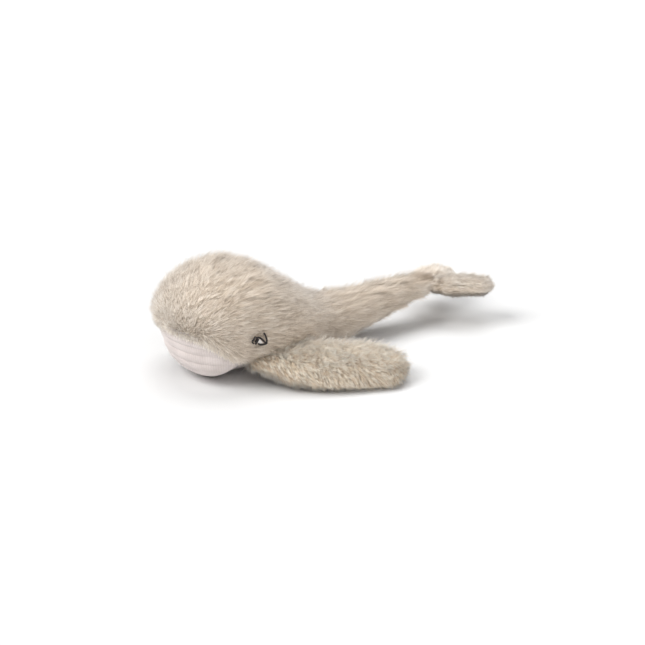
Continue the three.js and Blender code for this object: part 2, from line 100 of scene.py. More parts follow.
def setLights():
    a = math.radians(view["azimuth"])
    right, away = Vector((math.cos(a), math.sin(a), 0)), Vector((-math.sin(a), math.cos(a), 0))
    for name, ((across, deep, up), strength, spread) in studio["lights"].items():
        towards = (right * across + away * deep + Vector((0, 0, up))).normalized()
        data = bpy.data.lights.new(name + "Light", "SUN")
        data.energy, data.angle = strength, math.radians(spread)
        lamp = link(bpy.data.objects.new(name + "Light", data))
        lamp.rotation_euler = towards.to_track_quat("Z", "Y").to_euler()
    world = bpy.data.worlds.new("studio")
    bpy.context.scene.world = world
    world.use_nodes = True
    tree = world.node_tree
    height = addNode(tree, "SeparateXYZ", feeds={"Vector": objectPlace(tree)})
    low, high = studio["horizonBand"]
    strength = addNode(tree, "MapRange", {"interpolation_type": "SMOOTHSTEP"},
                       {"From Min": low, "From Max": high,
                        "To Min": studio["horizon"], "To Max": studio["sky"]},
                       {"Value": height.outputs["Z"]})
    sky = tree.nodes["Background"]
    sky.inputs["Color"].default_value = (1, 1, 1, 1)
    tree.links.new(strength.outputs["Result"], sky.inputs["Strength"])
    bpy.context.scene.view_settings.view_transform = "Standard"


# Colours are given as a screen shows them, from 0 to 255
def screenColour(*levels):
    shares = [level / 255 for level in levels]
    return tuple(s / 12.92 if s < 0.04045 else ((s + 0.055) / 1.055) ** 2.4 for s in shares) + (1,)


# Materials
sheenSpread = 0.5


def newMaterial(name, roughness, sheen=0.0, shine=0.3):
    material = bpy.data.materials.new(name)
    material.use_nodes = True
    shader = material.node_tree.nodes["Principled BSDF"]
    shader.inputs["Roughness"].default_value = roughness
    shader.inputs["Sheen Weight"].default_value = sheen
    shader.inputs["Sheen Roughness"].default_value = sheenSpread
    shader.inputs["Specular IOR Level"].default_value = shine
    return material, material.node_tree, shader


def addNode(tree, kind, settings=None, inputs=None, feeds=None):
    made = tree.nodes.new("ShaderNode" + kind)
    for name, value in (settings or {}).items():
        setattr(made, name, value)
    for name, value in (inputs or {}).items():
        made.inputs[name].default_value = value
    for name, socket in (feeds or {}).items():
        tree.links.new(socket, made.inputs[name])
    return made


def colourRamp(tree, factor, stops):
    made = addNode(tree, "ValToRGB", feeds={"Fac": factor})
    elements = made.color_ramp.elements
    for _ in stops[2:]:
        elements.new(1.0)
    for element, (place, colour) in zip(elements, stops):
        element.position, element.color = place, screenColour(*colour)
    return made.outputs["Color"]


# The sockets with which a Mix node mixes colours, by number because their names repeat
mixing = {"share": 0, "first": 6, "second": 7, "result": 2}


def multiplied(tree, first, second):
    made = addNode(tree, "Mix", {"data_type": "RGBA", "blend_type": "MULTIPLY"}, {mixing["share"]: 1.0},
                   {mixing["first"]: first, mixing["second"]: second})
    return made.outputs[mixing["result"]]


def attribute(tree, name):
    return addNode(tree, "Attribute", {"attribute_name": name}).outputs["Fac"]


def objectPlace(tree):
    return addNode(tree, "TexCoord").outputs["Object"]


def noise(tree, scale, detail=2.0):
    sizes = {"Scale": scale, "Detail": detail}
    return addNode(tree, "TexNoise", inputs=sizes, feeds={"Vector": objectPlace(tree)}).outputs["Fac"]


# Gives a shader its colour, and bumps it by a height as its finish says
def finished(tree, shader, colour, height=None, finish=None):
    tree.links.new(colour, shader.inputs["Base Color"])
    if height:
        sizes = {"Strength": finish["bump"], "Distance": finish["bumpDepth"]}
        bump = addNode(tree, "Bump", inputs=sizes, feeds={"Height": height})
        tree.links.new(bump.outputs["Normal"], shader.inputs["Normal"])


pileFinish = {
    "cream": [
        (0.0, (162, 144, 126)), (0.3, (212, 197, 180)), (0.65, (240, 228, 214)), (1.0, (251, 244, 235)),
    ],
    "warm": [
        (0.0, (198, 172, 144)), (0.3, (248, 228, 203)), (0.65, (255, 243, 224)), (1.0, (255, 249, 237)),
    ],
    # darker at the root, partly the fibre's own tone and partly painted shade deep in the pile
    "rootToneAndShade": [  # from a strand's root to its tip
        (0.0, (196, 185, 172)), (0.42, (248, 244, 238)), (0.75, (255, 253, 250)), (1.0, (255, 255, 255)),
    ],
    "roughness": (0.95, 0.75),  # of the darkest and the palest strands
}


def pileMaterial(name, tones):
    material, tree, shader = newMaterial(name, 0.9, sheen=0.55, shine=0.15)
    tone, reach = attribute(tree, "pileTone"), attribute(tree, "pileReach")
    # each strand's tone times its darkening towards the root, which is partly painted shade
    colour = multiplied(tree, colourRamp(tree, tone, tones), colourRamp(tree, reach, pileFinish["rootToneAndShade"]))
    low, high = pileFinish["roughness"]
    dull = addNode(tree, "MapRange", inputs={"To Min": low, "To Max": high}, feeds={"Value": tone})
    finished(tree, shader, colour)
    tree.links.new(dull.outputs["Result"], shader.inputs["Roughness"])
    return material


backingFinish = {
    "knit": 1400, "patch": 60, "bump": 0.3, "bumpDepth": 0.3 * mm,
    "colours": [(0.3, (196, 181, 160)), (0.7, (220, 206, 187))],
}


def backingMaterial():
    material, tree, shader = newMaterial("furBacking", 0.95, shine=0.1)
    sizes = {"Scale": backingFinish["knit"]}
    knit = addNode(tree, "TexVoronoi", inputs=sizes, feeds={"Vector": objectPlace(tree)}).outputs["Distance"]
    colour = colourRamp(tree, noise(tree, backingFinish["patch"]), backingFinish["colours"])
    finished(tree, shader, colour, knit, backingFinish)
    return material


throatFinish = {
    "fuzz": 700, "fuzzDetail": 3.0, "patch": 45, "bump": 0.35, "bumpDepth": 0.5 * mm, "ribs": 0.5,
    "colours": [(0.25, (202, 192, 188)), (0.5, (213, 203, 199)), (0.8, (223, 214, 210))],
    "grooveShade": [(0.0, (226, 220, 218)), (0.5, (248, 246, 245)), (1.0, (255, 255, 255))],
}


# A ribbed knit; the attribute throatRib counts the ribs round the chin. Painted shade darkens the grooves
# between the ribs, and a random fuzz varies the tone
def throatMaterial():
    material, tree, shader = newMaterial("throatRib", 0.85, sheen=0.3, shine=0.15)
    fuzz = noise(tree, throatFinish["fuzz"], throatFinish["fuzzDetail"])
    ribCount = attribute(tree, "throatRib")
    turns = addNode(tree, "Math", {"operation": "MULTIPLY"}, {1: 2 * math.pi}, {0: ribCount})
    wave = addNode(tree, "Math", {"operation": "SINE"}, feeds={0: turns.outputs["Value"]})
    ribs = addNode(tree, "MapRange", inputs={"From Min": -1.0}, feeds={"Value": wave.outputs["Value"]})
    shaded = addNode(tree, "Math", {"operation": "MULTIPLY_ADD"}, {1: throatFinish["ribs"]},
                     {0: ribs.outputs["Result"], 2: fuzz})
    # a patchy knit colour times painted shade in the rib grooves, with random fuzz in tone
    colour = multiplied(tree, colourRamp(tree, noise(tree, throatFinish["patch"]), throatFinish["colours"]),
                        colourRamp(tree, shaded.outputs["Value"], throatFinish["grooveShade"]))
    finished(tree, shader, colour, shaded.outputs["Value"], throatFinish)
    return material


threadFinish = {
    "fibre": 2600.0, "bump": 0.3, "bumpDepth": 0.1 * mm, "roughness": 0.6,
    "black": [(0.3, (16, 12, 12)), (0.7, (48, 40, 38))],
    "white": [(0.3, (216, 210, 204)), (0.7, (236, 232, 227))],
}


def threadMaterial(name, colours):
    material, tree, shader = newMaterial(name, threadFinish["roughness"], sheen=0.1, shine=0.4)
    fibre = noise(tree, threadFinish["fibre"])
    finished(tree, shader, colourRamp(tree, fibre, colours), fibre, threadFinish)
    return material


fibreFinish = {
    "wool": 180.0, "detail": 5.0, "bump": 0.6, "bumpDepth": 1.0 * mm,
    "colours": [(0.3, (228, 226, 220)), (0.7, (250, 249, 246))],
}


def fibreMaterial():
    material, tree, shader = newMaterial("fibreFilling", 1.0, sheen=0.4, shine=0.1)
    wool = noise(tree, fibreFinish["wool"], fibreFinish["detail"])
    finished(tree, shader, colourRamp(tree, wool, fibreFinish["colours"]), wool, fibreFinish)
    return material


def floorMaterial():
    material, tree, shader = newMaterial("paleFloor", 0.9, shine=0.0)
    pale = studio["floorColour"]
    slightly = tuple(level - 1 for level in pale)
    cloud = noise(tree, studio["floorCloud"])
    finished(tree, shader, colourRamp(tree, cloud, [(0.3, slightly), (0.7, pale)]))
    return material


def setFloor():
    made = bmesh.new()
    bmesh.ops.create_grid(made, x_segments=1, y_segments=1, size=studio["floorSize"] / 2)
    floor = toObject(made, "floor", floorMaterial())


# Shapes
tolerance = {"weld": 0.01 * mm, "cut": 0.001 * mm}


def toObject(made, name, material=None):
    mesh = bpy.data.meshes.new(name)
    made.to_mesh(mesh)
    made.free()
    mesh.shade_smooth()
    thing = link(bpy.data.objects.new(name, mesh))
    if material:
        mesh.materials.append(material)
    return thing


def fromNodes(*names):
    made = bmesh.new()
    for name in names:
        made.from_mesh(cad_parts[name].data)
    bmesh.ops.remove_doubles(made, verts=made.verts, dist=tolerance["weld"])
    return made


def applied(thing, kind, **settings):
    modifier = thing.modifiers.new(kind.title(), kind)
    for name, value in settings.items():
        setattr(modifier, name, value)
    seen = thing.evaluated_get(bpy.context.evaluated_depsgraph_get())
    mesh = bpy.data.meshes.new_from_object(seen)
    thing.modifiers.clear()
    old, thing.data = thing.data, mesh
    bpy.data.meshes.remove(old)
    return thing


def remeshed(made, voxel):
    thing = applied(toObject(made, "draft"), "REMESH", mode="VOXEL", voxel_size=voxel)
    fine = bmesh.new()
    fine.from_mesh(thing.data)
    bpy.data.objects.remove(thing)
    # what lies inside, such as the walls round a gap, goes
    first = max(fine.verts, key=lambda v: v.co.z)
    outer, front = {first}, [first]
    while front:
        front = [e.other_vert(v) for v in front for e in v.link_edges]
        front = [v for v in dict.fromkeys(front) if v not in outer]
        outer.update(front)
    bmesh.ops.delete(fine, geom=[v for v in fine.verts if v not in outer], context="VERTS")
    return fine


def smooth(made, turns):
    for _ in range(turns):
        bmesh.ops.smooth_vert(made, verts=made.verts, factor=0.5,
                              use_axis_x=True, use_axis_y=True, use_axis_z=True)


# Joins two stretches of a shape along X with their hull
def bridge(made, *stretches):
    ends = [v.co.copy() for v in made.verts if any(low < v.co.x < high for low, high in stretches)]
    hull = bmesh.ops.convex_hull(made, input=[made.verts.new(place) for place in ends])
    inside = [v for v in {*hull["geom_interior"], *hull["geom_unused"]} if isinstance(v, bmesh.types.BMVert)]
    bmesh.ops.delete(made, geom=inside, context="VERTS")


# Goes smoothly from 0 at low to 1 at high
def ramp(value, low, high):
    share = np.clip((value - low) / (high - low), 0, 1)
    return share * share * (3 - 2 * share)


def treeOf(*names):
    made = fromNodes(*names)
    tree = BVHTree.FromBMesh(made)
    made.free()
    return tree


# The body's skin: the stuffed form under the pile, drawn in at its seams
bodySkin = {
    "voxel": 3 * mm, "smoothing": 9, "lastSmoothing": 2,
    "swell": 1.9 * mm, "tailSwell": 1.2 * mm,  # out from the stuffing to the pile's foot
    "tailBegins": (-20 * mm, 30 * mm),
    "bridges": [((-14 * mm, 9 * mm), (38 * mm, 60 * mm)), ((56 * mm, 77 * mm), (94 * mm, 119 * mm))],
    "seamDepth": 1.0 * mm, "seamWidth": 3.5 * mm, "seamsEnd": 0,
    "headEnd": -12 * mm, "tailMiddle": 46 * mm,  # where its pieces meet
    "cloth": 1.4 * mm,
}
panels = {"headTop": "top_gusset_fur", "leftSide": "left_side_fur", "rightSide": "right_side_fur",
          "throat": "throat_panel"}


# How the sewn bag settles: behind the chin the belly lifts off the floor on either side, up to where the
# flippers bear it, the back dips at the neck, and the tail rises. Along X, across and up in mm
belly = {
    "lift": 10.5 * mm,
    "along": ((-194, -160), (-104, -78)), "across": ((4, 42), (76, 92)), "height": (18, 46),
}
backLine = {
    "dip": [
        (-233, 1), (-205, 4.5), (-180, 3.5), (-125, 1.5), (-102, 5), (-80, 6.5), (0, 6), (35, 4.5),
        (75, 1.5), (120, 1),
    ],
    "lift": [(60, 0), (85, 0.8), (110, 1.6), (140, 1.6), (165, 0)],
    "facing": (0, 0.8),  # only what faces up dips
}


def settled(place, normal):
    (near, full), (still, end) = ((np.array(pair) * mm for pair in belly["along"]))
    (inner, wide), (outer, edge) = ((np.array(pair) * mm for pair in belly["across"]))
    low, high = (height * mm for height in belly["height"])
    share = ramp(place.x, near, full) * (1 - ramp(place.x, still, end)) * (1 - ramp(place.z, low, high))
    share *= ramp(abs(place.y), inner, wide) * (1 - ramp(abs(place.y), outer, edge))
    dip, lift = (np.interp(place.x / mm, *zip(*backLine[move])) * mm for move in ("dip", "lift"))
    return place + Vector((0, 0, belly["lift"] * share + lift - dip * ramp(normal.z, *backLine["facing"])))


def bodyForm():
    made = fromNodes("body_stuffing", "tail_front_stuffing", "tail_rear_stuffing")
    for stretches in bodySkin["bridges"]:
        bridge(made, *stretches)
    made = remeshed(made, bodySkin["voxel"])
    smooth(made, bodySkin["smoothing"])
    made.normal_update()
    near = {panel: treeOf(node) for panel, node in panels.items()}
    moves = []
    for v in made.verts:
        along = ramp(v.co.x, *bodySkin["tailBegins"])
        out = bodySkin["swell"] * (1 - along) + bodySkin["tailSwell"] * along
        gaps = sorted(tree.find_nearest(v.co)[3] for tree in near.values())
        gap = gaps[1] - whale["pileDepth"] / 2 if v.co.x < bodySkin["seamsEnd"] else math.inf
        out -= bodySkin["seamDepth"] * math.exp(-((max(0, gap) / bodySkin["seamWidth"]) ** 2))
        moves.append(v.normal * out)
    for v, move in zip(made.verts, moves):
        v.co = settled(v.co + move, v.normal)
        v.co.z = max(v.co.z, 2 * whale["floorGap"])
    smooth(made, bodySkin["lastSmoothing"])
    for cut in (bodySkin["headEnd"], bodySkin["tailMiddle"]):
        bmesh.ops.bisect_plane(made, geom=[*made.verts, *made.edges, *made.faces], dist=tolerance["cut"],
                               plane_co=(cut, 0, 0), plane_no=(1, 0, 0))
    return made, near


def bodyPart(middle, near):
    if middle.x > bodySkin["tailMiddle"]:
        return "tailRear"
    if middle.x > bodySkin["headEnd"]:
        return "tailFront"
    reaches = {panel: tree.find_nearest(middle)[3] for panel, tree in near.items()}
    return min(reaches, key=reaches.get)


# Limbs: stations by share of the length give half width, half thickness and how far the middle rises
flipper = {
    "at": (-126 * mm, -71.4 * mm, 18 * mm), "turn": -29, "tilt": 14,  # on the left side; degrees
    "length": 166 * mm, "halfWidth": 43 * mm, "halfThickness": 18 * mm,
    "stations": [
        (-0.2, 0.2, 0.6, 1.78), (-0.06, 0.4, 0.74, 1.68), (0, 0.52, 0.94, 1.62), (0.1, 0.72, 1.13, 1.42),
        (0.25, 0.94, 1.11, 1.25), (0.42, 1, 1.03, 1.15), (0.6, 0.98, 0.97, 1.04), (0.76, 0.89, 0.91, 0.91),
        (0.89, 0.83, 0.85, 0.83), (1, 0.78, 0.82, 0.78),
    ],
    "sweepBack": 2 * mm, "droop": 0, "inset": whale["pileDepth"],
    "root": -0.16, "round": 0.82, "rootRound": 0.1,  # shares of the length
}
lobe = {
    "at": whale["lobeRoot"] - Vector((0, 0, 3 * mm)), "turn": -45, "tilt": 0,
    "length": 76 * mm, "halfWidth": 28 * mm, "halfThickness": 12.5 * mm,
    "stations": [
        (-0.2, 0.26, 0.5, 1), (-0.1, 0.38, 0.66, 1), (0, 0.52, 0.8, 1), (0.12, 0.7, 0.92, 1),
        (0.32, 0.88, 0.98, 1), (0.55, 0.92, 0.97, 1), (0.74, 0.9, 0.93, 1), (0.89, 0.86, 0.88, 1),
        (1, 0.8, 0.82, 1),
    ],
    "sweepBack": 7.5 * mm, "droop": 4 * mm, "inset": whale["lobePileDepth"],
    "root": -0.16, "round": 0.84, "rootRound": 0.1,
}
limbKinds = {"flipper": flipper, "lobe": lobe}
limbMesh = {"segments": 40, "rings": 36, "smoothing": 4, "fullness": 2.2, "shorter": 3 * mm, "pole": 0.9999}
flukeRoll = {"height": 50 * mm, "angle": -6}  # the whole fluke, about a line along the tail


# The same mesh with its faces in a fixed order, because the sphere operator's order differs from run to run
def inOrder(made):
    made.verts.index_update()
    rounds = []
    for face in made.faces:
        corners = [v.index for v in face.verts]
        first = corners.index(min(corners))
        rounds.append(corners[first:] + corners[:first])
    fixed = bmesh.new()
    points = [fixed.verts.new(v.co) for v in made.verts]
    for corners in sorted(rounds):
        fixed.faces.new([points[corner] for corner in corners])
    made.free()
    return fixed


# A limb along X: a sphere's rings moved out to the limb's stations
def limbForm(limb):
    made = bmesh.new()
    bmesh.ops.create_uvsphere(made, u_segments=limbMesh["segments"], v_segments=limbMesh["rings"], radius=1)
    made = inOrder(made)
    places, halves, thicks, rises = (np.array(column) for column in zip(*limb["stations"]))
    for v in made.verts:
        turn = math.atan2(v.co.y, v.co.x)
        at = limb["root"] + (1 - limb["root"]) * (1 + v.co.z) / 2
        pastRound = (at - limb["round"]) / (1 - limb["round"])
        pastRoot = (limb["round"] * limb["root"] - at) / limb["rootRound"]
        closing = max(0, pastRound, pastRoot)
        openness = math.sqrt(max(0, 1 - closing ** 2)) if abs(v.co.z) < limbMesh["pole"] else 0
        half = np.interp(at, places, halves) * limb["halfWidth"] - limb["inset"]
        thick = np.interp(at, places, thicks) * limb["halfThickness"] - limb["inset"]
        rise = (np.interp(at, places, rises) - 1) * limb["halfThickness"]
        across, up = (math.copysign(abs(s) ** (2 / limbMesh["fullness"]), s)
                      for s in (math.cos(turn), math.sin(turn)))
        back = max(0, at) ** 2
        v.co = (
            at * (limb["length"] - limb["inset"] - limbMesh["shorter"]),
            half * openness * across + limb["sweepBack"] * back,
            thick * openness * up + rise - limb["droop"] * back,
        )
    smooth(made, limbMesh["smoothing"])
    return made


def rotation(degrees, axis):
    return Matrix.Rotation(math.radians(degrees), 4, axis)


def placeOf(kind, side):
    limb = limbKinds[kind]
    place = Matrix.Translation(limb["at"]) @ rotation(limb["turn"], "Z") @ rotation(limb["tilt"], "X")
    place = Matrix.Diagonal((1, sides[side], 1, 1)) @ place
    if kind == "lobe":
        middle = Vector((0, 0, flukeRoll["height"]))
        roll = Matrix.Translation(middle) @ rotation(flukeRoll["angle"], "X") @ Matrix.Translation(-middle)
        place = roll @ place
    return place


def limbSkin(kind, side):
    made = limbForm(limbKinds[kind])
    bmesh.ops.transform(made, matrix=placeOf(kind, side), verts=made.verts)
    bmesh.ops.recalc_face_normals(made, faces=made.faces)
    for v in made.verts:
        v.co.z = max(v.co.z, 2 * whale["floorGap"])
    made.normal_update()
    return made


# Pile: a strand is a sphere of three sides, thin at both ends and bent at its ring
strand = {"sides": 3, "ring": 0.42, "sink": 0.8 * mm, "softness": 0.7}


def strandTemplate():
    made = bmesh.new()
    bmesh.ops.create_uvsphere(made, u_segments=strand["sides"], v_segments=2, radius=1)
    made = inOrder(made)
    made.verts.index_update()
    level = np.array([round(v.co.z) + 1 for v in made.verts])  # 0 root, 1 ring, 2 tip
    around = np.array([v.co.xy if abs(v.co.z) < 0.5 else (0, 0) for v in made.verts])
    faces = [[v.index for v in f.verts] for f in made.faces]
    made.free()
    return level, around, faces


def unit(vectors):
    return vectors / np.maximum(1e-9, np.linalg.norm(vectors, axis=-1, keepdims=True))


# Smooth noise of about unit size, and its slope, from seeded waves
def ripple(places, wavelength, seed, waves=20, stretch=(0.6, 1.5)):
    rng = np.random.default_rng(seed)
    ways = unit(rng.normal(size=(waves, 3))) * (2 * math.pi / wavelength) * rng.uniform(*stretch, (waves, 1))
    phases = places @ ways.T + rng.uniform(0, 2 * math.pi, waves)
    size = math.sqrt(waves / 2)
    return np.sin(phases).sum(1) / size, np.cos(phases) @ ways / size


crease = {"flipper": 17 * mm, "lobe": 7 * mm}  # how far the shade where a limb meets the body reaches


# The points, normals and triangles of a finished skin, and at each point how its pile is drawn aside and how
# far it is shaded
def surfaceOf(made, draw, others):
    made.verts.index_update()
    shades = [min(abs(depthIn(tree, v.co)) / reach for tree, reach in others) for v in made.verts]
    fields = np.column_stack([[draw(v.co, v.normal) for v in made.verts], 1 - ramp(np.array(shades), 0, 1)])
    points = np.array([v.co for v in made.verts])
    normals = np.array([v.normal for v in made.verts])
    triangles = np.array([[corner.vert.index for corner in loops] for loops in made.calc_loop_triangles()])
    return points, normals, triangles, fields


def scatter(surface, wanted, density, rng):
    points, normals, triangles, fields = surface
    corners = points[triangles]
    areas = np.linalg.norm(np.cross(corners[:, 1] - corners[:, 0], corners[:, 2] - corners[:, 0]), axis=1) / 2
    edges = np.cumsum(areas * wanted)
    count = int(edges[-1] * density)
    face = np.searchsorted(edges, (np.arange(count) + rng.random(count)) / count * edges[-1])
    face = np.minimum(face, len(triangles) - 1)
    a, b = rng.random((2, count))
    flip = a + b > 1
    a[flip], b[flip] = 1 - a[flip], 1 - b[flip]
    weights = np.stack([1 - a - b, a, b], 1)[:, :, None]
    at = triangles[face]
    up = unit((normals[at] * weights).sum(1))
    return (corners[face] * weights).sum(1), up, (fields[at] * weights).sum(1)


# What all pile has in common, as shares, with angles in degrees
growth = {
    "fineLock": 0.45, "wispLock": 0.6, "wispSpread": 0.5,
    "standing": 0.7, "steepest": {"rise": 90, "fall": 70}, "angleSpread": 7,
    "looseLift": 1.4, "pulledDown": 12,
    "lengthSpread": 0.14, "wispLength": 0.2, "looseLength": 0.28, "lengths": (0.5, 1.6),
    "pulledTrim": 0.35, "underTrim": 0.4, "under": (0.2, 0.7),
    "pulledFree": 0.5, "swirl": 0.2, "stray": 0.1, "tipStray": 0.3 * mm, "ringGather": 0.35,
    "widths": (0.7, 1.3), "looseThin": 0.4,
    "lockTone": 0.8, "fineTone": 0.6, "lockTones": (-1.3, 2), "patchTone": 0.04, "toneSpread": 0.1,
    # the pulled tone is painted light: the fringe drawn down over the throat's edge is made lighter
    "pulledPaintedLight": 0.42, "tones": (0.02, 0.98),
}


# Takes away what of a way points along the normal
def flattened(way, up):
    return way - (way * up).sum(1)[:, None] * up


# The step from a point of each strand to the next, at a slope above the skin
def strandStep(length, slope, up, way):
    return length[:, None] * (up * np.sin(slope)[:, None] + way * np.cos(slope)[:, None])


# At each root, guide gives the way the pile is combed, its share of the full length, how strongly its locks
# differ in tone and how much painted shade it takes (below 0, painted light); along stretches the locks
def growPile(name, surface, wanted, pile, guide, along, material):
    rng = np.random.default_rng(pile["seed"])
    roots, up, fields = scatter(surface, wanted, pile["density"], rng)
    pull, shade = fields[:, :3], fields[:, 3]
    count = len(roots)
    nap, trim, lively, paintedShade = guide(roots, up)
    nap = flattened(nap, up)
    upright = growth["standing"] * (1 - np.clip(np.linalg.norm(nap, axis=1), 0, 1))
    pulled = np.linalg.norm(pull, axis=1)
    held = pulled.clip(0, 1)
    # noise drawn out along the nap groups strands in locks
    lock, slope = ripple(roots @ along, pile["lock"], pile["seed"] + 1)
    fine, _ = ripple(roots @ along, pile["lock"] * growth["fineLock"], pile["seed"] + 4)
    tuft, _ = ripple(roots @ along, pile["tuft"], pile["seed"] + 5)
    patch, _ = ripple(roots, pile["patch"], pile["seed"] + 2)
    _, swirl = ripple(roots, pile["swirl"], pile["seed"] + 3)
    slope = unit(slope @ along.T)
    wisp = ramp(growth["wispLock"] * lock + tuft + rng.normal(0, growth["wispSpread"], count), *pile["wisps"])
    loose = rng.random(count) < pile["loose"]
    length = pile["length"] * trim * (1 - pile["creaseTrim"] * shade) * (1 - growth["pulledTrim"] * held)
    length *= (rng.normal(1, growth["lengthSpread"], count) + growth["wispLength"] * wisp
               + growth["looseLength"] * loose + pile["ragged"] * tuft).clip(*growth["lengths"])
    length *= 1 - growth["underTrim"] * ramp(-up[:, 2], *growth["under"])
    rise, fall = (np.radians(pile[part] + (most - pile[part]) * upright
                             + rng.normal(0, growth["angleSpread"], count)
                             + pile["flyaway"] * (wisp + growth["looseLift"] * loose)
                             - growth["pulledDown"] * held)
                  for part, most in growth["steepest"].items())
    combed = unit(nap) * (1 - growth["pulledFree"] * pulled)[:, None]
    way = combed + growth["swirl"] * unit(swirl) + pull + rng.normal(0, growth["stray"], (count, 3))
    way = unit(flattened(way, up))
    middle = roots + strandStep(strand["ring"] * length, rise, up, way)
    tip = middle + strandStep((1 - strand["ring"]) * length, fall, up, way)
    middle += slope * pile["gather"] * growth["ringGather"]
    tip += slope * pile["gather"] + rng.normal(0, growth["tipStray"], (count, 3))
    curve = np.stack([roots - up * strand["sink"], middle, tip], 1)
    # a frame across each strand
    ahead = unit(tip - roots)[:, None]
    aside = unit(np.cross(ahead, up[:, None]) + 1e-6)
    over = np.cross(ahead, aside)
    level, around, faces = strandTemplate()
    width = pile["width"] / 2 * rng.uniform(*growth["widths"], count) * (1 - growth["looseThin"] * loose)
    outward = aside * around[:, 0][None, :, None] + over * around[:, 1][None, :, None]
    points = curve[:, level] + outward * width[:, None, None]
    points[..., 2] = np.maximum(points[..., 2], whale["floorGap"])
    facing = unit(outward * (1 - strand["softness"]) + up[:, None] * strand["softness"])
    locks = (growth["lockTone"] * lock + growth["fineTone"] * fine).clip(*growth["lockTones"])
    tone = (pile["tone"] + pile["contrast"] * lively * locks + growth["patchTone"] * patch
            + rng.normal(0, growth["toneSpread"], count))
    # painted light on the fringe over the throat, painted shade near the limbs, and guide's painted shade
    tone += growth["pulledPaintedLight"] * held - pile["paintedCreaseShade"] * shade - paintedShade
    reach = np.array([0, strand["ring"], 1])[level]
    return strandMesh(name, points, facing, tone.clip(*growth["tones"]), reach, faces, material)


bakeMap = {"edge": 0.01, "span": 0.98, "aside": 0.004}


# The strands are laid as copies of one template, because there are over two hundred thousand
def strandMesh(name, points, facing, tone, reach, faces, material):
    count, size = points.shape[:2]
    corners = np.concatenate(faces)
    sides = np.tile([len(face) for face in faces], count)
    loops = (corners[None] + size * np.arange(count)[:, None]).ravel()
    mesh = bpy.data.meshes.new(name)
    mesh.vertices.add(count * size)
    mesh.vertices.foreach_set("co", points.astype(np.float32).ravel())
    mesh.loops.add(len(loops))
    mesh.loops.foreach_set("vertex_index", loops.astype(np.int32))
    mesh.polygons.add(len(sides))
    mesh.polygons.foreach_set("loop_start", np.concatenate([[0], np.cumsum(sides)[:-1]]).astype(np.int32))
    mesh.update(calc_edges=True)
    mesh.shade_smooth()
    for kind, values in (("pileTone", np.repeat(tone, size)), ("pileReach", np.tile(reach, count))):
        mesh.attributes.new(kind, "FLOAT", "POINT").data.foreach_set("value", values.astype(np.float32))
    # a map of tone by reach, on which all strands of one colour share a place
    layer = mesh.uv_layers.new(name="OFBake")
    aside = np.concatenate([np.linspace(-1, 1, len(face)) for face in faces]) * bakeMap["aside"]
    u = bakeMap["edge"] + bakeMap["span"] * tone[:, None] + aside[None]
    v = np.tile(bakeMap["edge"] + bakeMap["span"] * reach[corners], (count, 1))
    layer.uv.foreach_set("vector", np.stack([u, v], 2).astype(np.float32).ravel())
    mesh.normals_split_custom_set_from_vertices(facing.reshape(-1, 3).astype(np.float32))
    mesh.materials.append(material)
    return link(bpy.data.objects.new(name, mesh))


# How far inside a closed skin a point lies; below 0 it is outside
def depthIn(tree, place):
    nearest, normal, _, _ = tree.find_nearest(place)
    return (nearest - place).dot(normal)


def middlesOf(surface):
    points, _, triangles, _ = surface
    return [Vector(middle) for middle in points[triangles].mean(1)]


setCamera()
setLights()
setFloor()
finishes = {
    "pile": pileMaterial("creamPile", pileFinish["cream"]),
    "warmPile": pileMaterial("warmPile", pileFinish["warm"]),
    "backing": backingMaterial(), "throat": throatMaterial(), "fibre": fibreMaterial(),
    "black": threadMaterial("blackThread", threadFinish["black"]),
    "white": threadMaterial("whiteThread", threadFinish["white"]),
}
print("stage ready")

body, nearPanels = bodyForm()
limbs = {(kind, side): limbSkin(kind, side) for kind in limbKinds for side in sides}
print("skins:", len(body.verts), "points on the body")

bodyTree = BVHTree.FromBMesh(body)
limbTrees = {key: BVHTree.FromBMesh(made) for key, made in limbs.items()}

# Pieces that span a joint, with its parts from and to, its root, the way out and a reach in mm along out.
# The rest ride rigid on the body
bends = {
    "tailFront": {"from": "body", "to": "tail_front", "root": "tailLift", "out": (1, 0, 0),
                  "reach": (-18, 22)},
    "tailRear": {"from": "tail_front", "to": "tail_rear", "root": "tailSway", "out": (1, 0, 0),
                 "reach": (-14, 16)},
    "flipper": {"from": "body", "to": "{}_flipper", "root": "flipperRoot", "out": (0.242, -0.97, 0),
                "reach": (-4, 16)},
    "lobe": {"from": "tail_rear", "to": "{}_fluke_lobe", "root": "lobeRoot", "out": (0.707, -0.707, 0),
             "reach": (-3, 12)},
}


def hold(thing, part):
    if part not in bends:
        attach(thing, "body")
        return
    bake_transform(thing)


# Skins: the body's is parted at its seams, and each limb's is one closed bag
skinNodes = {
    "headTop": ["top_gusset_fur"], "leftSide": ["left_side_fur"], "rightSide": ["right_side_fur"],
    "tailFront": ["tail_front_left_fur", "tail_front_right_fur"],
    "tailRear": ["tail_rear_left_fur", "tail_rear_right_fur"],
}
body.faces.index_update()
partOfFace = [bodyPart(f.calc_center_median(), nearPanels) for f in body.faces]


def partOfBody(keep):
    made = body.copy()
    bmesh.ops.delete(made, geom=[f for f in made.faces if not keep(f)], context="FACES")
    return made


for part, nodes in skinNodes.items():
    skin = toObject(partOfBody(lambda f: partOfFace[f.index] == part), part + "Skin", finishes["backing"])
    applied(skin, "SOLIDIFY", thickness=bodySkin["cloth"], offset=-1)
    hold(skin, part)
    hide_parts(*nodes)

